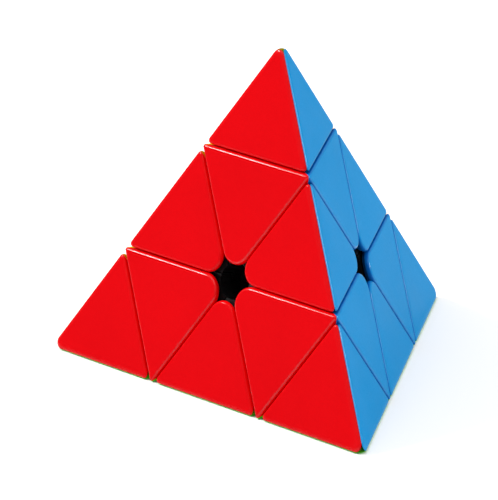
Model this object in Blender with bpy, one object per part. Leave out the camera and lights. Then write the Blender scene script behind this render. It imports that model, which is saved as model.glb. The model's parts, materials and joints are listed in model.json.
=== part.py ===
"""A pyramid twisty puzzle, at rest and solved: four layers and four tips turn about a four-armed core.

Metres, +Z up. The origin is the centre of the core, where all four turning axes meet, and the
puzzle stands on its green face. Every piece is cut from one regular tetrahedron:
  - core, four screws and four springs: the frame that the rest hangs on
  - four axials, one at each vertex of the core: a black base and three coloured shells
  - four tips outside the axials: a black cup and three coloured shells
  - six edges between the axials: a black foot, hooked under the axials, and two coloured shells
"""

from math import atan2, cos, pi, radians, sin, sqrt, tan

import bmesh
import bpy
from mathutils import Matrix, Vector

# The tetrahedron, and the planes that divide it.
EDGE = 0.098
HEIGHT = EDGE * sqrt(2 / 3)
FACE_DISTANCE = HEIGHT / 4
LAYER_CUT = HEIGHT / 12
TIP_CUT = 5 * HEIGHT / 12
# Between pieces, and between the coloured shells of one piece.
GAP = 0.0003
SHELL_GAP = 0.0002

# Coloured shells.
SHELL_THICKNESS = 0.002
SEAM_ROUNDING = 0.0008
# The rims along the tetrahedron's edges are softer: this is how far in on the face they start.
SOFT_REACH = 0.0018
# The rim of a shell is rounded in two steps, and this is the depth of the one between them.
ROUNDING_STEP = 0.00036
CENTRE_CORNER = 0.0045
OUTER_CORNER = 0.0008
VERTEX_CORNER = 0.0013
NUB_CORNER = 0.0002
PEG_RADIUS = 0.0011
PEG_LENGTH = 0.0019
TIP_PEG_LENGTH = 0.0011

# The mechanism: a ball, feet that slide on it, and the axials that hold the feet down.
CORE_RADIUS = 0.0104
FOOT_INNER = 0.0108
FOOT_OUTER = 0.0146
FOOT_ANGLE = radians(75)
NECK_RADIUS = 0.0160
FACE_WELL_RADIUS = 0.0043
ARM_RADIUS = 0.0032
ARM_END = 0.0190
THREAD_HOLE_RADIUS = 0.0017
THREAD_HOLE_BOTTOM = 0.0045

# Screw and spring, along one axis from the centre outwards.
SCREW_POINT = 0.0056
SHANK_RADIUS = 0.0014
POINT_RADIUS = 0.0007
POINT_HEIGHTS = (0.0008, 0.0022)
SHANK_BORE_RADIUS = 0.00175
HEAD_RADIUS = 0.0025
HEAD_BOTTOM = 0.0402
HEAD_HEIGHT = 0.0018
CROWN_RADIUS = 0.0019
CROWN_HEIGHT = 0.0007
RECESS_WIDTH = 0.0008
RECESS_LENGTH = 0.0030
RECESS_DEPTH = 0.0010
WELL_RADIUS = 0.0029
CUP_FLOOR = 0.0015
CUP_TOP = 0.0424
WIRE_RADIUS = 0.0003
COIL_RADIUS = 0.00215
COIL_TURNS = 3.5

# How finely round shapes are divided.
TURN_SEGMENTS = 36
FOOT_STEPS = 6
BALL_SEGMENTS = 24
SMALL_SEGMENTS = 16
PEG_SEGMENTS = 8
COIL_SEGMENTS = 10
# Faces that meet within this angle are one flat face, and those within the next are shaded as one.
FLAT_WITHIN = radians(0.3)
SMOOTH_WITHIN = radians(30)

VERTICES = ("top", "left", "right", "back")
AXIS = {
    "top": Vector((0, 0, 1)),
    "left": Vector((-sqrt(2 / 3), -sqrt(2) / 3, -1 / 3)),
    "right": Vector((sqrt(2 / 3), -sqrt(2) / 3, -1 / 3)),
    "back": Vector((0, 2 * sqrt(2) / 3, -1 / 3)),
}
# The colour of the face opposite each vertex.
FACE_COLOUR = {"top": "green", "left": "blue", "right": "yellow", "back": "red"}

MATERIALS = {
    "red_plastic": ((0.80, 0.008, 0.010), 0.38, 0.0),
    "blue_plastic": ((0.035, 0.28, 0.68), 0.38, 0.0),
    "yellow_plastic": ((0.90, 0.70, 0.010), 0.38, 0.0),
    "green_plastic": ((0.10, 0.62, 0.020), 0.38, 0.0),
    "black_plastic": ((0.012, 0.012, 0.013), 0.45, 0.0),
    "core_plastic": ((0.020, 0.020, 0.022), 0.35, 0.0),
    "spring_steel": ((0.62, 0.62, 0.63), 0.28, 1.0),
    "screw_steel": ((0.50, 0.49, 0.47), 0.32, 1.0),
}


def clear_scene():
    for obj in list(bpy.data.objects):
        bpy.data.objects.remove(obj, do_unlink=True)


def make_material(name):
    colour, roughness, metallic = MATERIALS[name]
    material = bpy.data.materials.new(name)
    material.use_nodes = True
    shader = material.node_tree.nodes["Principled BSDF"]
    shader.inputs["Base Color"].default_value = (*colour, 1)
    shader.inputs["Roughness"].default_value = roughness
    shader.inputs["Metallic"].default_value = metallic
    material.diffuse_color = (*colour, 1)
    return material


# ---- meshes and cutting -------------------------------------------------------------------------


def mesh_from(name, points, faces):
    mesh = bpy.data.meshes.new(name)
    mesh.from_pydata([tuple(p) for p in points], [], faces)
    shape = bmesh.new()
    shape.from_mesh(mesh)
    bmesh.ops.recalc_face_normals(shape, faces=shape.faces)
    shape.to_mesh(mesh)
    shape.free()
    return mesh


def carve(mesh, steps):
    """The mesh after each (operation, other mesh) of steps, in order."""
    blank = bpy.data.objects.new("blank", mesh)
    bpy.context.scene.collection.objects.link(blank)
    helpers = [blank]
    for operation, other in steps:
        helper = bpy.data.objects.new("cutter", other)
        helper.hide_render = True
        helper.display_type = "WIRE"
        bpy.context.scene.collection.objects.link(helper)
        helpers.append(helper)
        modifier = blank.modifiers.new(operation.lower(), "BOOLEAN")
        modifier.operation = operation
        modifier.solver = "EXACT"
        modifier.object = helper
    bpy.context.view_layer.update()
    graph = bpy.context.evaluated_depsgraph_get()
    result = bpy.data.meshes.new_from_object(blank.evaluated_get(graph))
    for obj in helpers:
        bpy.data.objects.remove(obj, do_unlink=True)
    result.materials.clear()
    return without_needless_points(result)


def without_needless_points(mesh):
    """The mesh with the points removed that a cut left inside flat faces and straight edges."""
    shape = bmesh.new()
    shape.from_mesh(mesh)
    bmesh.ops.dissolve_limit(
        shape, angle_limit=FLAT_WITHIN, use_dissolve_boundaries=False,
        verts=shape.verts[:], edges=shape.edges[:],
    )
    shape.to_mesh(mesh)
    shape.free()
    return mesh


def turned(name, profile, segments):
    """The solid swept by a profile of (radius, height) points about Z; its ends lie on the axis."""
    rings, points = [], []
    for radius, height in profile:
        if radius == 0:
            rings.append([len(points)] * segments)
            points.append((0, 0, height))
            continue
        rings.append(list(range(len(points), len(points) + segments)))
        for k in range(segments):
            angle = 2 * pi * k / segments
            points.append((radius * cos(angle), radius * sin(angle), height))
    faces = []
    for low, high in zip(rings, rings[1:]):
        for k in range(segments):
            n = (k + 1) % segments
            corners = [low[k], low[n], high[n], high[k]]
            faces.append(list(dict.fromkeys(corners)))
    return mesh_from(name, points, faces)


def rod(radius, bottom, top, segments):
    return turned("rod", [(0, bottom), (radius, bottom), (radius, top), (0, top)], segments)


def turn_taking(first, first_to, second, second_to):
    """The rotation of the tetrahedron that takes two of its vertices to two others."""
    start = Matrix((AXIS[first], AXIS[second], AXIS[first].cross(AXIS[second]))).transposed()
    cross = AXIS[first_to].cross(AXIS[second_to])
    end = Matrix((AXIS[first_to], AXIS[second_to], cross)).transposed()
    return end @ start.inverted()


def moved(mesh, matrix):
    copy = mesh.copy()
    copy.transform(matrix)
    return copy


def along(direction, point=(0, 0, 0)):
    """The placement that stands a shape's Z axis along a direction, at a point."""
    return Matrix.Translation(point) @ direction.to_track_quat("Z", "Y").to_matrix().to_4x4()


def half_space_solid(name, planes):
    """The convex solid inside every plane (outward normal, distance)."""
    shape = bmesh.new()
    bmesh.ops.create_cube(shape, size=4 * EDGE)
    for normal, distance in planes:
        cut = bmesh.ops.bisect_plane(
            shape,
            geom=shape.verts[:] + shape.edges[:] + shape.faces[:],
            plane_co=normal * distance,
            plane_no=normal,
            clear_outer=True,
        )
        rim = [e for e in cut["geom_cut"] if isinstance(e, bmesh.types.BMEdge)]
        bmesh.ops.contextual_create(shape, geom=rim)
    bmesh.ops.recalc_face_normals(shape, faces=shape.faces)
    mesh = bpy.data.meshes.new(name)
    shape.to_mesh(mesh)
    shape.free()
    return mesh


# ---- the planes between pieces ------------------------------------------------------------------


def above(vertex, distance):
    """The outward normal and distance of the cut under a piece that lies beyond it."""
    return (-AXIS[vertex], -distance - GAP / 2)


def below(vertex, distance):
    """The outward normal and distance of the cut over a piece that lies inside it."""
    return (AXIS[vertex], distance - GAP / 2)


def mitre(face, other):
    """The plane through the centre that parts the shell of one face from the next face's."""
    return ((AXIS[face] - AXIS[other]).normalized(), -SHELL_GAP / 2)


def inner_faces(vertices):
    """The planes under the shells of the faces opposite these vertices."""
    return [(-AXIS[v], FACE_DISTANCE - SHELL_THICKNESS - GAP) for v in vertices]


# ---- coloured shells ----------------------------------------------------------------------------


def rounding_inset(slope, mitred, depth):
    """How far a rounded rim stands back from its side, at a depth under the face. The slope is how
    fast the side leans inwards with depth; a mitred side has the softer rim instead."""
    if mitred:
        return SOFT_REACH * max(0.0, 1 - depth / ROUNDING_STEP)
    slant = sqrt(1 + slope * slope)
    if depth >= SEAM_ROUNDING * (1 + slope / slant):
        return 0.0
    reach = sqrt(SEAM_ROUNDING**2 - (SEAM_ROUNDING - depth) ** 2)
    return max(0.0, SEAM_ROUNDING * (slope + slant) - reach - slope * depth)


def outline(face, sides, depth):
    """The rounded outline of a shell at a depth under its face, as points in space."""
    outward = -AXIS[face]
    height = FACE_DISTANCE - depth
    lines = []
    for (normal, distance), mitred, _, _ in sides:
        tilt = normal @ outward
        flat = normal - outward * tilt
        inset = rounding_inset(-tilt / flat.length, mitred, depth)
        lines.append((flat.normalized(), (distance - tilt * height) / flat.length - inset))
    points = []
    for k, (direction, offset) in enumerate(lines):
        after, after_offset = lines[(k + 1) % len(lines)]
        _, _, radius, steps = sides[k]
        turn = direction.angle(after)
        share = direction @ after
        near, far = offset - radius, after_offset - radius
        centre = outward * height
        centre += direction * (near - share * far) / (1 - share * share)
        centre += after * (far - share * near) / (1 - share * share)
        for step in range(steps + 1):
            part = turn * step / steps
            arm = direction * (sin(turn - part) / sin(turn)) + after * (sin(part) / sin(turn))
            points.append(centre + arm * radius)
    return points


def shell(name, sides, peg_place, peg_length):
    """A coloured plate over part of the red face, with a locating peg on its back."""
    depths = (0, ROUNDING_STEP, SHELL_THICKNESS)
    rings = [outline("back", sides, depth) for depth in depths]
    count = len(rings[0])
    faces = [list(range(count)), [count * (len(depths) - 1) + k for k in range(count)]]
    for ring in range(len(depths) - 1):
        for k in range(count):
            a, b = ring * count + k, ring * count + (k + 1) % count
            faces.append([a, b, b + count, a + count])
    plate = mesh_from(name, [p for ring in rings for p in ring], faces)
    peg = rod(PEG_RADIUS, SHELL_THICKNESS / 2, SHELL_THICKNESS + peg_length, PEG_SEGMENTS)
    return carve(plate, [("UNION", moved(peg, along(AXIS["back"], peg_place)))])


def peg_socket(turn, peg_place, peg_length):
    """The hole in a base that the peg of a shell stands in, for the shell turned this way."""
    depth = SHELL_THICKNESS + peg_length + GAP
    hole = rod(PEG_RADIUS + GAP, SHELL_THICKNESS / 2, depth, PEG_SEGMENTS)
    return ("DIFFERENCE", moved(hole, turn.to_4x4() @ along(AXIS["back"], peg_place)))


def on_face(face, weights):
    """The point of a face at these barycentric weights of its vertices."""
    corner_distance = 3 * FACE_DISTANCE
    total = sum(weights.values())
    return sum((AXIS[v] * (corner_distance * w / total) for v, w in weights.items()), Vector())


# One shell of each kind is modelled on the red face, opposite the back vertex.
# Each side is a plane, whether it is a mitre, and the radius and steps of the corner after it.
TIP_SIDES = [
    (above("top", TIP_CUT), False, OUTER_CORNER, 3),
    (mitre("back", "left"), True, VERTEX_CORNER, 4),
    (mitre("back", "right"), True, OUTER_CORNER, 3),
]
AXIAL_SIDES = [
    (below("top", TIP_CUT), False, NUB_CORNER, 1),
    (mitre("back", "right"), True, NUB_CORNER, 1),
    (below("left", LAYER_CUT), False, CENTRE_CORNER, 8),
    (below("right", LAYER_CUT), False, NUB_CORNER, 1),
    (mitre("back", "left"), True, NUB_CORNER, 1),
]
EDGE_SIDES = [
    (above("top", LAYER_CUT), False, OUTER_CORNER, 3),
    (mitre("back", "right"), True, OUTER_CORNER, 3),
    (above("left", LAYER_CUT), False, CENTRE_CORNER, 8),
]
TIP_PEG = on_face("back", {"top": 0.72, "left": 0.14, "right": 0.14})
AXIAL_PEG = on_face("back", {"top": 5, "left": 2, "right": 2})
EDGE_PEG = on_face("back", {"top": 4, "left": 4, "right": 1})


# ---- the mechanism ------------------------------------------------------------------------------


def layer_solid(side):
    """What lies beyond the cut of a layer along Z, above the feet: a flat cut that turns into a cone.
    The side is 1 for the pieces of the layer and -1 for the cutter that clears them."""
    height = LAYER_CUT + side * GAP / 2
    angle = atan2(NECK_RADIUS, LAYER_CUT) - side * GAP / 2 / NECK_RADIUS
    rim = EDGE / 2
    profile = [(0, 0), (height * tan(angle), height), (rim, height), (rim, HEIGHT), (0, HEIGHT)]
    return turned("layer", profile, TURN_SEGMENTS)


def foot_solid(side):
    """The space in which the feet of a layer along Z travel: a ball cut by a wide cone."""
    radius = FOOT_OUTER - side * GAP / 2
    angle = FOOT_ANGLE - side * GAP / 2 / FOOT_INNER
    arc = [angle * k / FOOT_STEPS for k in range(FOOT_STEPS, -1, -1)]
    profile = [(0, 0)] + [(radius * sin(a), radius * cos(a)) for a in arc]
    profile[-1] = (0, radius)
    return turned("foot_space", profile, TURN_SEGMENTS)


def ball(radius, segments):
    half = segments // 2
    arc = [pi * k / half for k in range(half + 1)]
    profile = [(radius * sin(a), -radius * cos(a)) for a in arc]
    profile[0], profile[-1] = (0, -radius), (0, radius)
    return turned("ball", profile, segments)


def face_wells(faces):
    """The holes through to the ball that show at the centres of faces."""
    well = rod(FACE_WELL_RADIUS, FOOT_INNER - GAP, 2 * FACE_DISTANCE, BALL_SEGMENTS)
    return [("DIFFERENCE", moved(well, along(-AXIS[face]))) for face in faces]


def axial_base():
    """The axial of the top vertex: a block that hooks over the feet, with a bore for the core's arm."""
    sides = ("left", "right", "back")
    block = half_space_solid("axial_base", [below("top", TIP_CUT), *inner_faces(sides)])
    layer_cutter, foot_cutter = layer_solid(-1), foot_solid(-1)
    steps = [("INTERSECT", layer_solid(1))]
    for vertex in sides:
        steps.append(("DIFFERENCE", moved(layer_cutter, along(AXIS[vertex]))))
        steps.append(("DIFFERENCE", moved(foot_cutter, along(AXIS[vertex]))))
    steps += face_wells(sides)
    steps.append(("DIFFERENCE", ball(FOOT_INNER + GAP / 2, BALL_SEGMENTS)))
    steps.append(("DIFFERENCE", rod(ARM_RADIUS + GAP, 0, ARM_END + GAP, SMALL_SEGMENTS)))
    steps.append(("DIFFERENCE", rod(SHANK_BORE_RADIUS, 0, HEIGHT, SMALL_SEGMENTS)))
    for face in sides:
        steps.append(peg_socket(turn_taking("top", "top", "back", face), AXIAL_PEG, PEG_LENGTH))
    return carve(block, steps)


def edge_foot():
    """The edge between top and left: its block, and the foot that slides round the core."""
    faces = ("right", "back")
    block = half_space_solid("edge_foot", inner_faces(faces))
    layer, layer_cutter = layer_solid(1), layer_solid(-1)
    foot, foot_cutter = foot_solid(1), foot_solid(-1)
    top, left = along(AXIS["top"]), along(AXIS["left"])
    block = carve(block, [("INTERSECT", moved(layer, top)), ("INTERSECT", moved(layer, left))])
    hook = carve(moved(foot, top), [("INTERSECT", moved(foot, left))])
    steps = [("UNION", hook)]
    for vertex in faces:
        steps.append(("DIFFERENCE", moved(layer_cutter, along(AXIS[vertex]))))
        steps.append(("DIFFERENCE", moved(foot_cutter, along(AXIS[vertex]))))
    steps += face_wells(faces)
    steps.append(("DIFFERENCE", ball(FOOT_INNER + GAP / 2, BALL_SEGMENTS)))
    for face, far in (faces, faces[::-1]):
        steps.append(peg_socket(turn_taking("right", face, "back", far), EDGE_PEG, PEG_LENGTH))
    return carve(block, steps)


def tip_cup():
    """The cup inside the top tip, which holds the spring under the head of the screw."""
    sides = ("left", "right", "back")
    planes = [above("top", TIP_CUT), (AXIS["top"], CUP_TOP), *inner_faces(sides)]
    cup = half_space_solid("tip_cup", planes)
    well_bottom = TIP_CUT + GAP / 2 + CUP_FLOOR
    steps = [
        ("DIFFERENCE", rod(WELL_RADIUS, well_bottom, HEIGHT, SMALL_SEGMENTS)),
        ("DIFFERENCE", rod(SHANK_BORE_RADIUS, 0, HEIGHT, SMALL_SEGMENTS)),
    ]
    for face in sides:
        steps.append(peg_socket(turn_taking("top", "top", "back", face), TIP_PEG, TIP_PEG_LENGTH))
    return carve(cup, steps)


def core():
    """A ball with four hollow arms."""
    arm = rod(ARM_RADIUS, CORE_RADIUS / 2, ARM_END, SMALL_SEGMENTS)
    hole = rod(THREAD_HOLE_RADIUS, THREAD_HOLE_BOTTOM, HEIGHT, SMALL_SEGMENTS)
    steps = [("UNION", moved(arm, along(AXIS[v]))) for v in VERTICES]
    steps += [("DIFFERENCE", moved(hole, along(AXIS[v]))) for v in VERTICES]
    return carve(ball(CORE_RADIUS, BALL_SEGMENTS), steps)


def screw():
    """A round-headed screw along Z with a cross recess."""
    head_top = HEAD_BOTTOM + HEAD_HEIGHT
    profile = [
        (0, SCREW_POINT),
        (POINT_RADIUS, SCREW_POINT + POINT_HEIGHTS[0]),
        (SHANK_RADIUS, SCREW_POINT + POINT_HEIGHTS[1]),
        (SHANK_RADIUS, HEAD_BOTTOM),
        (HEAD_RADIUS, HEAD_BOTTOM),
        (HEAD_RADIUS, head_top - CROWN_HEIGHT),
        (CROWN_RADIUS, head_top),
        (0, head_top),
    ]
    long, short = RECESS_LENGTH / 2, RECESS_WIDTH / 2
    floor = head_top - RECESS_DEPTH
    quarter = [(long, short), (short, short), (short, long)]
    cross = []
    for across, up in ((1, 1), (-1, 1), (-1, -1), (1, -1)):
        corner = quarter if across == up else quarter[::-1]
        cross += [(x * across, y * up) for x, y in corner]
    count = len(cross)
    points = [(x, y, floor) for x, y in cross] + [(x, y, HEIGHT) for x, y in cross]
    faces = [list(range(count)), list(range(count, 2 * count))]
    faces += [[k, (k + 1) % count, (k + 1) % count + count, k + count] for k in range(count)]
    recess = mesh_from("recess", points, faces)
    return carve(turned("screw", profile, SMALL_SEGMENTS), [("DIFFERENCE", recess)])


def spring():
    """A coil along Z between the floor of the tip's cup and the head of the screw."""
    low = TIP_CUT + GAP / 2 + CUP_FLOOR + WIRE_RADIUS + GAP / 2
    high = HEAD_BOTTOM - WIRE_RADIUS - GAP / 2
    steps = int(COIL_TURNS * COIL_SEGMENTS)
    curve = bpy.data.curves.new("spring", "CURVE")
    curve.dimensions = "3D"
    curve.bevel_depth = WIRE_RADIUS
    curve.bevel_resolution = 1
    curve.use_fill_caps = True
    line = curve.splines.new("POLY")
    line.points.add(steps)
    for k in range(steps + 1):
        angle = 2 * pi * k / COIL_SEGMENTS
        height = low + (high - low) * k / steps
        line.points[k].co = (COIL_RADIUS * cos(angle), COIL_RADIUS * sin(angle), height, 1)
    guide = bpy.data.objects.new("guide", curve)
    bpy.context.scene.collection.objects.link(guide)
    bpy.context.view_layer.update()
    graph = bpy.context.evaluated_depsgraph_get()
    coil = bpy.data.meshes.new_from_object(guide.evaluated_get(graph))
    bpy.data.objects.remove(guide, do_unlink=True)
    return coil


# ---- putting the pieces in place ----------------------------------------------------------------


def place(name, mesh, material, rotation, parent):
    obj = bpy.data.objects.new(name, mesh)
    bpy.context.scene.collection.objects.link(obj)
    obj.matrix_world = rotation.to_4x4()
    obj.parent = parent
    if not mesh.materials:
        mesh.materials.append(None)
    obj.material_slots[0].link = "OBJECT"
    obj.material_slots[0].material = material
    return obj


def body(name):
    """An empty at the centre, on every turning axis, that carries the pieces of one moving body."""
    empty = bpy.data.objects.new(name, None)
    empty.empty_display_size = EDGE / 10
    bpy.context.scene.collection.objects.link(empty)
    return empty


def main():
    clear_scene()
    material = {name: make_material(name) for name in MATERIALS}
    meshes = {
        "core": core(),
        "screw": screw(),
        "spring": spring(),
        "axial_base": axial_base(),
        "axial_shell": shell("axial_shell", AXIAL_SIDES, AXIAL_PEG, PEG_LENGTH),
        "tip_cup": tip_cup(),
        "tip_shell": shell("tip_shell", TIP_SIDES, TIP_PEG, TIP_PEG_LENGTH),
        "edge_foot": edge_foot(),
        "edge_shell": shell("edge_shell", EDGE_SIDES, EDGE_PEG, PEG_LENGTH),
    }
    for mesh in meshes.values():
        mesh.shade_smooth()
        mesh.set_sharp_from_angle(angle=SMOOTH_WITHIN)

    frame = body("frame")
    place("core", meshes["core"], material["core_plastic"], Matrix.Identity(3), frame)
    for vertex, neighbour in zip(VERTICES, VERTICES[1:] + VERTICES[:1]):
        turn = turn_taking("top", vertex, "back", neighbour)
        layer, tip = body(f"{vertex}_layer"), body(f"{vertex}_tip")
        place(f"{vertex}_screw", meshes["screw"], material["screw_steel"], turn, frame)
        place(f"{vertex}_spring", meshes["spring"], material["spring_steel"], turn, frame)
        place(f"{vertex}_axial_base", meshes["axial_base"], material["black_plastic"], turn, layer)
        place(f"{vertex}_tip_cup", meshes["tip_cup"], material["black_plastic"], turn, tip)
        for face in VERTICES:
            if face == vertex:
                continue
            turn = turn_taking("top", vertex, "back", face)
            colour = FACE_COLOUR[face]
            plastic = material[f"{colour}_plastic"]
            place(f"{vertex}_axial_{colour}_shell", meshes["axial_shell"], plastic, turn, layer)
            place(f"{vertex}_tip_{colour}_shell", meshes["tip_shell"], plastic, turn, tip)
    for k, one in enumerate(VERTICES):
        for other in VERTICES[k + 1:]:
            edge = body(f"{one}_{other}_edge")
            faces = [v for v in VERTICES if v not in (one, other)]
            turn = turn_taking("back", faces[0], "right", faces[1])
            place(f"{one}_{other}_edge_foot", meshes["edge_foot"], material["black_plastic"], turn, edge)
            for face, far in (faces, faces[::-1]):
                turn = turn_taking("back", face, "right", far)
                colour = FACE_COLOUR[face]
                plastic = material[f"{colour}_plastic"]
                place(f"{one}_{other}_edge_{colour}_shell", meshes["edge_shell"], plastic, turn, edge)


main()
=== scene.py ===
"""The looks of the pyramid twisty puzzle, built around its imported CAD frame.

The coloured caps are made here as fine solids with softly rounded rims, in place of the plain CAD
shells. The black pieces inside stay as they are and get finer materials. Metres, in the CAD's frame.
"""

import json
from math import cos, pi, radians, sin, sqrt

import bmesh
import bpy
from mathutils import Matrix, Vector


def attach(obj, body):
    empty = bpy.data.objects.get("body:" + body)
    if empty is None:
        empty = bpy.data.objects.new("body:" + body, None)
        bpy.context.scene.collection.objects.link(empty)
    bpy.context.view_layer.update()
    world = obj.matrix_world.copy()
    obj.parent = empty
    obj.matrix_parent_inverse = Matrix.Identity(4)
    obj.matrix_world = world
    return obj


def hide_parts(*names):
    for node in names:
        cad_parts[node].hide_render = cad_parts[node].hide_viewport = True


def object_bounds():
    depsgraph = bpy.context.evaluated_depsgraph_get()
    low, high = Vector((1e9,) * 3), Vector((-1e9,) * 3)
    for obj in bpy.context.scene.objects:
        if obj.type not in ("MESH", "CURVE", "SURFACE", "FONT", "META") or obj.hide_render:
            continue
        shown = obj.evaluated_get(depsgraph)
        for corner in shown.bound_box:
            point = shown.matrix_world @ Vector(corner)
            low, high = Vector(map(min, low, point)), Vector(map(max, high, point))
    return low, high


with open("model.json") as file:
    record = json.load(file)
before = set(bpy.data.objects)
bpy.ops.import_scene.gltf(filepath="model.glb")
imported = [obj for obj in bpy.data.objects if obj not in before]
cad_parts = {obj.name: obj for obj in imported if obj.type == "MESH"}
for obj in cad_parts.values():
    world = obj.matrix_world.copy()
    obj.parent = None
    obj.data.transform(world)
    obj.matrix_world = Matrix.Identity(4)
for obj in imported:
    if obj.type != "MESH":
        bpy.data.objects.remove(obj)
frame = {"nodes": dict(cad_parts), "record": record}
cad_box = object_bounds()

# The tetrahedron, and the planes that divide it, as in the CAD.
EDGE = 0.098
HEIGHT = EDGE * sqrt(2 / 3)
FACE_DISTANCE = HEIGHT / 4
LAYER_CUT = HEIGHT / 12
TIP_CUT = 5 * HEIGHT / 12
GAP = 0.0002
CAP_GAP = 0.00004
CAP_THICKNESS = 0.002

# The rims along the seams are round. Those along the pyramid's edges are softer: they start further
# in on the face and turn more sharply in the middle.
SEAM_ROUNDING = 0.0008
RIM_REACH = 0.0018
RIM_WEIGHT = 1.37
RIM_STEPS = 9
SEAM_ANGLES = (62, 70, 79, 88, 98, 109.47)
CENTRE_CORNER = 0.0038
# An axial's cap ends this far from the middle of its face, with an upright wall that is undercut below.
HOLE_REACH = 0.0039
UNDERCUT = 0.0012
OUTER_CORNER = 0.0009
APEX_CORNER = 0.0018
NUB_CORNER = 0.0003
FLAT_BAND = 0.00015
SMALLEST_CORNER = 0.0002
# How much of the rim's reach a corner's radius loses on the face.
CORNER_TIGHTENING = 0.85
SHARP_ANGLE = 24

# Handling polishes the rim from the first depth to the second. Down in the seams painted shading deepens
# the colour to the third depth, standing in for the shade there and, on the red caps, for light bounced
# between the walls; it goes back to the plain colour of the walls from the fourth.
RIM_DEPTH = 0.00012
WALL_DEPTH = 0.0005
SEAM_DEPTH = 0.0004
SEAM_END = 0.0009
# How much of the polish the rims get: along the pyramid's edges, and along each kind's seams.
MITRE_WEAR = 0.4
SEAM_WEAR = {"tip": 0.3, "axial": 1.0, "edge": 0.3}

PEG_RADIUS = 0.0011
PEG_LENGTH = 0.0019
TIP_PEG_LENGTH = 0.0011
PEG_CHAMFER = 0.0002
PEG_SEGMENTS = 20

AXIS = {
    "top": Vector((0, 0, 1)),
    "left": Vector((-sqrt(2 / 3), -sqrt(2) / 3, -1 / 3)),
    "right": Vector((sqrt(2 / 3), -sqrt(2) / 3, -1 / 3)),
    "back": Vector((0, 2 * sqrt(2) / 3, -1 / 3)),
}
VERTICES = tuple(AXIS)
# The colour of the face opposite each vertex.
FACE_COLOUR = {"top": "green", "left": "blue", "right": "yellow", "back": "red"}

# ---- materials ----------------------------------------------------------------------------------


class Nodes:
    """A material's node tree, with short calls for the nodes used here."""

    def __init__(self, name):
        self.material = bpy.data.materials.new(name)
        self.material.use_nodes = True
        self.tree = self.material.node_tree
        self.shader = self.tree.nodes["Principled BSDF"]
        coordinates = self.tree.nodes.new("ShaderNodeTexCoord")
        self.place = coordinates.outputs["Object"]

    def link(self, output, node, socket):
        self.tree.links.new(output, node.inputs[socket])

    def noise(self, size, detail=2.0, roughness=0.5, stretch=None):
        """Noise with features of about this size in metres, from 0 to 1."""
        node = self.tree.nodes.new("ShaderNodeTexNoise")
        node.inputs["Scale"].default_value = 1 / size
        node.inputs["Detail"].default_value = detail
        node.inputs["Roughness"].default_value = roughness
        place = self.place
        if stretch:
            mapping = self.tree.nodes.new("ShaderNodeMapping")
            mapping.inputs["Scale"].default_value = stretch
            self.link(place, mapping, "Vector")
            place = mapping.outputs["Vector"]
        self.link(place, node, "Vector")
        return node.outputs["Fac"]

    def spread(self, value, low, high, start=0.3, end=0.7):
        """Maps start..end to low..high, and stays within them."""
        node = self.tree.nodes.new("ShaderNodeMapRange")
        for socket, number in zip(("From Min", "From Max", "To Min", "To Max"), (start, end, low, high)):
            node.inputs[socket].default_value = number
        self.link(value, node, "Value")
        return node.outputs["Result"]

    def maths(self, operation, first, second):
        node = self.tree.nodes.new("ShaderNodeMath")
        node.operation = operation
        for socket, value in enumerate((first, second)):
            if isinstance(value, (int, float)):
                node.inputs[socket].default_value = value
            else:
                self.tree.links.new(value, node.inputs[socket])
        return node.outputs[0]

    def mixed(self, factor, low, high):
        """Between two colours, each a socket or three numbers."""
        node = self.tree.nodes.new("ShaderNodeMix")
        node.data_type = "RGBA"
        self.tree.links.new(factor, node.inputs[0])
        for socket, colour in ((6, low), (7, high)):
            if isinstance(colour, tuple):
                node.inputs[socket].default_value = (*colour, 1)
            else:
                self.tree.links.new(colour, node.inputs[socket])
        return node.outputs[2]

    def attribute(self, name):
        node = self.tree.nodes.new("ShaderNodeAttribute")
        node.attribute_name = name
        return node.outputs["Fac"]

    def bump(self, height, depth, strength=1.0, after=None):
        node = self.tree.nodes.new("ShaderNodeBump")
        node.inputs["Strength"].default_value = strength
        node.inputs["Distance"].default_value = depth
        self.link(height, node, "Height")
        if after:
            self.link(after, node, "Normal")
        return node.outputs["Normal"]

    def finish(self, colour, roughness, normal):
        self.link(colour, self.shader, "Base Color")
        self.link(roughness, self.shader, "Roughness")
        self.link(normal, self.shader, "Normal")
        return self.material


def tinted(colour, factor):
    return tuple(min(1.0, c * factor) for c in colour)


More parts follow.
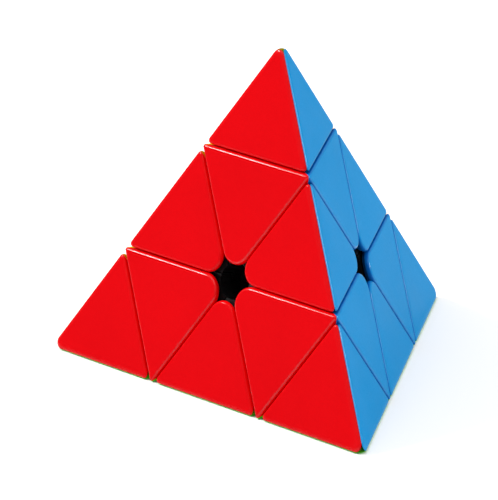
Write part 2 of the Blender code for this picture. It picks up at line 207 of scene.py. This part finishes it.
def cap_plastic(name, colour, rim_colour, painted_seam_shading):
    """Plastic moulded in colour, with a fine satin grain that handling has polished off the rims, and
    painted shading down in the seams: a deeper, purer colour that stands in for the shade there and for
    the light that comes back off the other wall."""
    nodes = Nodes(name)
    nodes.shader.inputs["IOR"].default_value = 1.49
    nodes.shader.inputs["Specular IOR Level"].default_value = 0.012
    nodes.shader.inputs["Coat IOR"].default_value = 1.49
    nodes.shader.inputs["Coat Roughness"].default_value = 0.18
    flow = nodes.noise(0.021, detail=3)
    speck = nodes.noise(0.00045, detail=1)
    cloudy = nodes.mixed(nodes.spread(flow, 0, 1), tinted(colour, 0.965), tinted(colour, 1.03))
    specked = nodes.mixed(nodes.spread(speck, 0, 0.5, 0.35, 0.75), cloudy, tinted(colour, 0.90))
    rim = nodes.attribute("rim")
    worn = nodes.maths("MULTIPLY", rim, nodes.spread(nodes.noise(0.0035, detail=4), 0.55, 1.0))
    edged = nodes.mixed(nodes.maths("MULTIPLY", worn, 0.30), specked, rim_colour)
    # Painted shading down the seams: the seam mask mixes in a deeper, purer colour that stands in for the
    # shade there, and on the red caps for the light bounced back off the other wall.
    uneven = nodes.spread(nodes.noise(0.002, detail=4), 0.75, 1.0)
    painted_seam_mask = nodes.maths("MULTIPLY", nodes.attribute("seam"), uneven)
    shade = nodes.mixed(painted_seam_mask, edged, painted_seam_shading)
    smudges = nodes.spread(nodes.noise(0.013, detail=5, roughness=0.62), 0.33, 0.43)
    grainy = nodes.maths("ADD", smudges, nodes.spread(speck, -0.03, 0.03))
    polished = nodes.maths("SUBTRACT", grainy, nodes.maths("MULTIPLY", worn, 0.20))
    shine = nodes.maths("MULTIPLY", worn, nodes.spread(painted_seam_mask, 1.0, 0.06, 0.15, 0.85))
    nodes.link(shine, nodes.shader, "Coat Weight")
    waves = nodes.bump(nodes.noise(0.012, detail=0), 0.000035)
    grain = nodes.bump(nodes.noise(0.00032, detail=2), 0.0000045, after=waves)
    return nodes.finish(shade, polished, grain)


def black_plastic(name, colour, rough, sheen):
    """Plain black plastic: matt from the mould, rubbed shinier in streaks where pieces slide."""
    nodes = Nodes(name)
    nodes.shader.inputs["Specular IOR Level"].default_value = 0.15
    streaks = nodes.noise(0.004, detail=4, stretch=(1, 1, 4))
    speck = nodes.noise(0.0005, detail=2)
    shade = nodes.mixed(nodes.spread(streaks, 0, 1), tinted(colour, 0.8), tinted(colour, 1.5))
    roughness = nodes.maths("ADD", nodes.spread(streaks, rough, sheen), nodes.spread(speck, -0.04, 0.04))
    return nodes.finish(shade, roughness, nodes.bump(speck, 0.000008))


def steel(name, colour, rough, streak):
    """Metal with fine drawn or turned lines along one way."""
    nodes = Nodes(name)
    nodes.shader.inputs["Metallic"].default_value = 1.0
    lines = nodes.noise(0.0006, detail=3, stretch=streak)
    spots = nodes.noise(0.0025, detail=4)
    shade = nodes.mixed(nodes.spread(spots, 0, 1), tinted(colour, 0.86), tinted(colour, 1.06))
    along = nodes.spread(lines, rough - 0.05, rough + 0.07)
    roughness = nodes.maths("ADD", along, nodes.spread(spots, -0.03, 0.05))
    return nodes.finish(shade, roughness, nodes.bump(lines, 0.000004))


def floor_surface():
    nodes = Nodes("pale_floor")
    paper = nodes.noise(0.0012, detail=3)
    broad = nodes.noise(0.25, detail=2)
    shade = nodes.mixed(nodes.spread(broad, 0, 1), (0.93, 0.93, 0.925), (0.95, 0.95, 0.95))
    return nodes.finish(shade, nodes.spread(paper, 0.55, 0.65), nodes.bump(paper, 0.00001))


# Each has the colour of its faces, of its worn rims, and the painted shading of its seams, which stands in
# for shade there and is lighter on red, where it stands for light bounced between the walls.
PLASTICS = {
    "red": cap_plastic("satin_red", (0.53, 0.0012, 0.0034), (0.60, 0.003, 0.005), (0.69, 0.0003, 0.0008)),
    "blue": cap_plastic("satin_blue", (0.0045, 0.232, 0.545), (0.018, 0.32, 0.70), (0.0004, 0.080, 0.38)),
    "yellow": cap_plastic("satin_yellow", (0.78, 0.58, 0.008), (0.86, 0.70, 0.04), (0.66, 0.42, 0.003)),
    "green": cap_plastic("satin_green", (0.080, 0.52, 0.014), (0.15, 0.66, 0.04), (0.040, 0.38, 0.006)),
}
CAD_MATERIALS = {
    "black_plastic": black_plastic("moulded_black", (0.0040, 0.0040, 0.0043), 0.50, 0.36),
    "core_plastic": black_plastic("polished_black", (0.0055, 0.0055, 0.0060), 0.40, 0.28),
    "spring_steel": steel("drawn_wire", (0.62, 0.62, 0.63), 0.27, (1, 1, 6)),
    "screw_steel": steel("plated_screw", (0.50, 0.49, 0.47), 0.31, (1, 1, 8)),
}

# ---- the planes between pieces ------------------------------------------------------------------


def above(vertex, distance):
    """The outward normal and distance of the cut under a piece that lies beyond it."""
    return (-AXIS[vertex], -distance - GAP / 2)


def below(vertex, distance):
    """The outward normal and distance of the cut over a piece that lies inside it."""
    return (AXIS[vertex], distance - GAP / 2)


def mitre(face, other):
    """The plane through the centre that parts the cap of one face from the next face's."""
    return ((AXIS[face] - AXIS[other]).normalized(), -CAP_GAP / 2)


# Each side is a plane, whether it is a mitre, and the radius and steps of the corner after it. The
# axial's corner without a radius lies beside the hole. All are for the red face, opposite the back vertex.
SIDES = {
    "tip": [
        (above("top", TIP_CUT), False, OUTER_CORNER, 8),
        (mitre("back", "left"), True, APEX_CORNER, 8),
        (mitre("back", "right"), True, OUTER_CORNER, 8),
    ],
    "axial": [
        (below("top", TIP_CUT), False, NUB_CORNER, 5),
        (mitre("back", "right"), True, NUB_CORNER, 5),
        (below("left", LAYER_CUT), False, None, 20),
        (below("right", LAYER_CUT), False, NUB_CORNER, 5),
        (mitre("back", "left"), True, NUB_CORNER, 5),
    ],
    "edge": [
        (above("top", LAYER_CUT), False, OUTER_CORNER, 8),
        (mitre("back", "right"), True, OUTER_CORNER, 8),
        (above("left", LAYER_CUT), False, CENTRE_CORNER, 18),
    ],
}
PEGS = {
    "tip": ({"top": 0.72, "left": 0.14, "right": 0.14}, TIP_PEG_LENGTH),
    "axial": ({"top": 5 / 9, "left": 2 / 9, "right": 2 / 9}, PEG_LENGTH),
    "edge": ({"top": 4 / 9, "left": 4 / 9, "right": 1 / 9}, PEG_LENGTH),
}

# ---- caps ---------------------------------------------------------------------------------------


def rim_profile():
    """Points (distance in from the sharp edge, depth) of the soft rim, from the face to the mitre."""
    points = []
    for k in range(RIM_STEPS + 1):
        u = 0.5 * k / RIM_STEPS
        face, middle, next_face = (1 - u) ** 2, 2 * u * (1 - u) * RIM_WEIGHT, u**2
        total = face + middle + next_face
        across = RIM_REACH * (face + next_face / 3) / total
        points.append((across, RIM_REACH * next_face * sqrt(8) / 3 / total))
    return points


RIM = rim_profile()
DEPTHS = [depth for _, depth in RIM]
DEPTHS += [SEAM_ROUNDING * (1 - cos(radians(angle))) for angle in SEAM_ANGLES]
DEPTHS.append(CAP_THICKNESS)


def mitred_inset(depth):
    """How far the soft rim stands back from the mitre plane at a depth."""
    for (across, upper), (next_across, lower) in zip(RIM, RIM[1:]):
        if depth <= lower:
            share = (depth - upper) / (lower - upper)
            return across + (next_across - across) * share - depth * sqrt(2)
    return 0.0


def seam_inset(depth, slope):
    """How far the round rim stands back from a seam's wall, which leans in by slope with depth."""
    slant = sqrt(1 + slope * slope)
    if depth >= SEAM_ROUNDING * (1 + slope / slant):
        return 0.0
    reach = sqrt(SEAM_ROUNDING**2 - (SEAM_ROUNDING - depth) ** 2)
    return max(0.0, SEAM_ROUNDING * (slope + slant) - reach - slope * depth)


def corner_radius(full, depth, offset):
    """The radius of a corner at a depth. It is tighter on the face than below the rim; beside the
    hole it leaves the cap's end where it is, whatever the offset of its sides at that depth."""
    short = 0.0
    if depth < SEAM_ROUNDING:
        short = SEAM_ROUNDING - sqrt(SEAM_ROUNDING**2 - (SEAM_ROUNDING - depth) ** 2)
    if full is None:
        low = max(0.0, depth - DEPTHS[-2]) / (CAP_THICKNESS - DEPTHS[-2])
        return HOLE_REACH + short + UNDERCUT * low + 2 * offset
    return max(full - short * CORNER_TIGHTENING, SMALLEST_CORNER)


def outline(sides, depth, further=0.0):
    """The outline of a cap on the red face at a depth, set in further by a distance."""
    outward = -AXIS["back"]
    height = FACE_DISTANCE - depth
    lines = []
    for (normal, distance), mitred, _, _ in sides:
        tilt = normal @ outward
        flat = normal - outward * tilt
        inset = mitred_inset(depth) if mitred else seam_inset(depth, -tilt / flat.length)
        lines.append((flat.normalized(), (distance - tilt * height) / flat.length - inset))
    points = []
    for k, (direction, offset) in enumerate(lines):
        after, after_offset = lines[(k + 1) % len(lines)]
        _, _, full, steps = sides[k]
        radius = corner_radius(full, depth, offset)
        turn = direction.angle(after)
        share = direction @ after
        near, far = offset - radius, after_offset - radius
        radius -= further
        centre = outward * height
        centre += direction * (near - share * far) / (1 - share * share)
        centre += after * (far - share * near) / (1 - share * share)
        for step in range(steps + 1):
            part = turn * step / steps
            arm = direction * (sin(turn - part) / sin(turn)) + after * (sin(part) / sin(turn))
            points.append(centre + arm * radius)
    return points


def turn_taking(first, first_to, second, second_to):
    """The rotation of the tetrahedron that takes two of its vertices to two others."""
    start = Matrix((AXIS[first], AXIS[second], AXIS[first].cross(AXIS[second]))).transposed()
    cross = AXIS[first_to].cross(AXIS[second_to])
    end = Matrix((AXIS[first_to], AXIS[second_to], cross)).transposed()
    return (end @ start.inverted()).to_4x4()


def add_peg(shape, kind):
    """Cuts a round foot into the back of a cap and draws it out into the peg that holds it."""
    weights, length = PEGS[kind]
    spot = sum((AXIS[v] * (3 * FACE_DISTANCE * w) for v, w in weights.items()), Vector())
    inward = AXIS["back"]
    start = spot + inward * CAP_THICKNESS
    side = inward.orthogonal().normalized()
    up = inward.cross(side)
    back = max(shape.faces, key=lambda f: f.calc_center_median() @ inward)
    rings = []
    tip = PEG_RADIUS - PEG_CHAMFER
    for depth, radius in ((0, PEG_RADIUS), (length - PEG_CHAMFER, PEG_RADIUS), (length, tip)):
        ring = []
        for k in range(PEG_SEGMENTS):
            angle = 2 * pi * k / PEG_SEGMENTS
            arm = (side * cos(angle) + up * sin(angle)) * radius
            ring.append(shape.verts.new(start + inward * depth + arm))
        rings.append(ring)
    for ring, after in zip(rings, rings[1:]):
        for k in range(PEG_SEGMENTS):
            n = (k + 1) % PEG_SEGMENTS
            shape.faces.new((ring[k], ring[n], after[n], after[k]))
    shape.faces.new(rings[-1])
    rim = list(back.edges)
    bmesh.ops.delete(shape, geom=[back], context="FACES_ONLY")
    foot = [shape.edges.get((rings[0][k], rings[0][(k + 1) % PEG_SEGMENTS])) for k in range(PEG_SEGMENTS)]
    bmesh.ops.triangle_fill(shape, edges=rim + foot, use_beauty=True)


def seam_shares(sides):
    """For each point of an outline, how much it belongs to a seam rather than a mitred edge."""
    shares = []
    for k, (_, mitred, _, steps) in enumerate(sides):
        start, end = 1.0 - mitred, 1.0 - sides[(k + 1) % len(sides)][1]
        shares += [start + (end - start) * step / steps for step in range(steps + 1)]
    return shares


def cap_mesh(kind):
    """The solid of one cap on the red face, closed, with its rim and peg. Its points store how far they
    are on the rim, where handling polishes, and how far down a seam, where painted shading deepens the
    colour."""
    sides = SIDES[kind]
    shape = bmesh.new()
    rim = shape.verts.layers.float.new("rim")
    seam = shape.verts.layers.float.new("seam")
    rings = []
    for further, depth in [(FLAT_BAND, 0.0)] + [(0.0, depth) for depth in DEPTHS]:
        ring = [shape.verts.new(point) for point in outline(sides, depth, further)]
        for point, share in zip(ring, seam_shares(sides)):
            wear = MITRE_WEAR + (SEAM_WEAR[kind] - MITRE_WEAR) * share
            point[rim] = min(1.0, depth / RIM_DEPTH) * min(1.0, max(0.0, 2 - depth / WALL_DEPTH)) * wear
            # How far down a seam the point is; this sets the painted seam shading.
            point[seam] = share * min(1.0, depth / SEAM_DEPTH) * min(1.0, max(0.5, 2 - depth / SEAM_END))
        rings.append(ring)
    shape.faces.new(rings[0])
    shape.faces.new(rings[-1])
    for ring, after in zip(rings, rings[1:]):
        for k in range(len(ring)):
            n = (k + 1) % len(ring)
            shape.faces.new((ring[k], ring[n], after[n], after[k]))
    add_peg(shape, kind)
    bmesh.ops.recalc_face_normals(shape, faces=shape.faces)
    mesh = bpy.data.meshes.new(kind + "_cap")
    shape.to_mesh(mesh)
    shape.free()
    mesh.shade_smooth()
    mesh.set_sharp_from_angle(angle=radians(SHARP_ANGLE))
    return mesh


def place_cap(base, name, turn, colour, body, node):
    mesh = base.copy()
    mesh.transform(turn)
    mesh.materials.append(PLASTICS[colour])
    cap = bpy.data.objects.new(name, mesh)
    bpy.context.scene.collection.objects.link(cap)
    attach(cap, body)
    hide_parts(node)


def place_caps():
    base = {kind: cap_mesh(kind) for kind in SIDES}
    for vertex in VERTICES:
        for face in VERTICES:
            if face == vertex:
                continue
            colour = FACE_COLOUR[face]
            turn = turn_taking("top", vertex, "back", face)
            for kind, body in (("tip", f"{vertex}_tip"), ("axial", f"{vertex}_layer")):
                name = f"{vertex}_{kind}_{colour}"
                place_cap(base[kind], name + "_cap", turn, colour, body, name + "_shell")
    for k, one in enumerate(VERTICES):
        for other in VERTICES[k + 1:]:
            faces = [v for v in VERTICES if v not in (one, other)]
            body = f"{one}_{other}_edge"
            for face, far in (faces, faces[::-1]):
                colour = FACE_COLOUR[face]
                turn = turn_taking("back", face, "right", far)
                name = f"{body}_{colour}"
                place_cap(base["edge"], name + "_cap", turn, colour, body, name + "_shell")


def finish_cad_nodes():
    slots = {part["node"]: part["material_slot"] for part in frame["record"]["subparts"]}
    for name, obj in frame["nodes"].items():
        material = CAD_MATERIALS.get(slots[name])
        if material:
            for slot in obj.material_slots:
                slot.material = material


# ---- floor, light and camera --------------------------------------------------------------------

CAMERA_AZIMUTH = 41.75
CAMERA_ELEVATION = 22.06
CAMERA_ROLL = -0.493
CAMERA_DISTANCE = 1.05
CAMERA_LENS = 328.4
# Where the puzzle's centre lies from the middle of the view, right and down, in widths of the view.
CENTRE_RIGHT = 0.0696
CENTRE_DOWN = 0.0686
FLOOR_SIZE = 12.0
FLOOR_DROP = 0.00003
# The sky is brighter higher up: from and to which height of the unit direction, and how bright.
SKY_RANGE = (0.05, 0.80, 0.15, 0.76)
# Name, azimuth and elevation in degrees, distance, width and height, watts, and colour.
LIGHTS = (
    ("key", 15, 78, 1.3, (1.1, 1.1), 7.5, (1.0, 0.99, 0.98)),
    ("fill", 135, 25, 1.2, (0.28, 0.18), 5.6, (1.0, 0.98, 0.93)),
    ("front", -34, 10, 1.3, (0.15, 0.25), 1.3, (1.0, 1.0, 1.0)),
    ("window", -57, 40, 1.3, (0.23, 0.17), 14.5, (1.0, 1.0, 1.0)),
)


def add_floor():
    shape = bmesh.new()
    bmesh.ops.create_grid(shape, x_segments=24, y_segments=24, size=FLOOR_SIZE / 2)
    mesh = bpy.data.meshes.new("floor")
    shape.to_mesh(mesh)
    shape.free()
    mesh.materials.append(floor_surface())
    floor = bpy.data.objects.new("floor", mesh)
    floor.location.z = cad_box[0].z - FLOOR_DROP
    bpy.context.scene.collection.objects.link(floor)


def add_light(name, azimuth, elevation, distance, size, power, colour):
    light = bpy.data.lights.new(name, "AREA")
    light.shape = "RECTANGLE"
    light.size, light.size_y = size
    light.energy = power
    light.color = colour
    lamp = bpy.data.objects.new(name, light)
    a, e = radians(azimuth), radians(elevation)
    towards = Vector((sin(a) * cos(e), -cos(a) * cos(e), sin(e)))
    lamp.location = towards * distance
    lamp.rotation_mode = "QUATERNION"
    lamp.rotation_quaternion = towards.to_track_quat("Z", "Y")
    bpy.context.scene.collection.objects.link(lamp)


def add_world():
    world = bpy.data.worlds.new("studio")
    world.use_nodes = True
    background = world.node_tree.nodes["Background"]
    background.inputs["Color"].default_value = (1.0, 1.0, 1.0, 1)
    direction = world.node_tree.nodes.new("ShaderNodeTexCoord")
    parts = world.node_tree.nodes.new("ShaderNodeSeparateXYZ")
    height = world.node_tree.nodes.new("ShaderNodeMapRange")
    for socket, number in zip(("From Min", "From Max", "To Min", "To Max"), SKY_RANGE):
        height.inputs[socket].default_value = number
    world.node_tree.links.new(direction.outputs["Generated"], parts.inputs["Vector"])
    world.node_tree.links.new(parts.outputs["Z"], height.inputs["Value"])
    world.node_tree.links.new(height.outputs["Result"], background.inputs["Strength"])
    bpy.context.scene.world = world


def add_camera():
    data = bpy.data.cameras.new("camera")
    data.lens = CAMERA_LENS
    data.sensor_width = 36
    data.clip_start, data.clip_end = 0.05, 50
    camera = bpy.data.objects.new("camera", data)
    a, e = radians(CAMERA_AZIMUTH), radians(CAMERA_ELEVATION)
    back = Vector((sin(a) * cos(e), -cos(a) * cos(e), sin(e)))
    right = Vector((cos(a), sin(a), 0))
    up = back.cross(right)
    facing = Matrix((right, up, back)).transposed()
    half = data.sensor_width / data.lens
    aim = Matrix.Rotation(half * CENTRE_RIGHT, 3, "Y") @ Matrix.Rotation(half * CENTRE_DOWN, 3, "X")
    camera.rotation_mode = "QUATERNION"
    turn = facing @ Matrix.Rotation(radians(CAMERA_ROLL), 3, "Z") @ aim
    camera.rotation_quaternion = turn.to_quaternion()
    camera.location = back * CAMERA_DISTANCE
    bpy.context.scene.collection.objects.link(camera)
    bpy.context.scene.camera = camera


def main():
    place_caps()
    finish_cad_nodes()
    add_floor()
    add_world()
    for light in LIGHTS:
        add_light(*light)
    bpy.context.scene.view_settings.view_transform = "Standard"
    add_camera()


main()
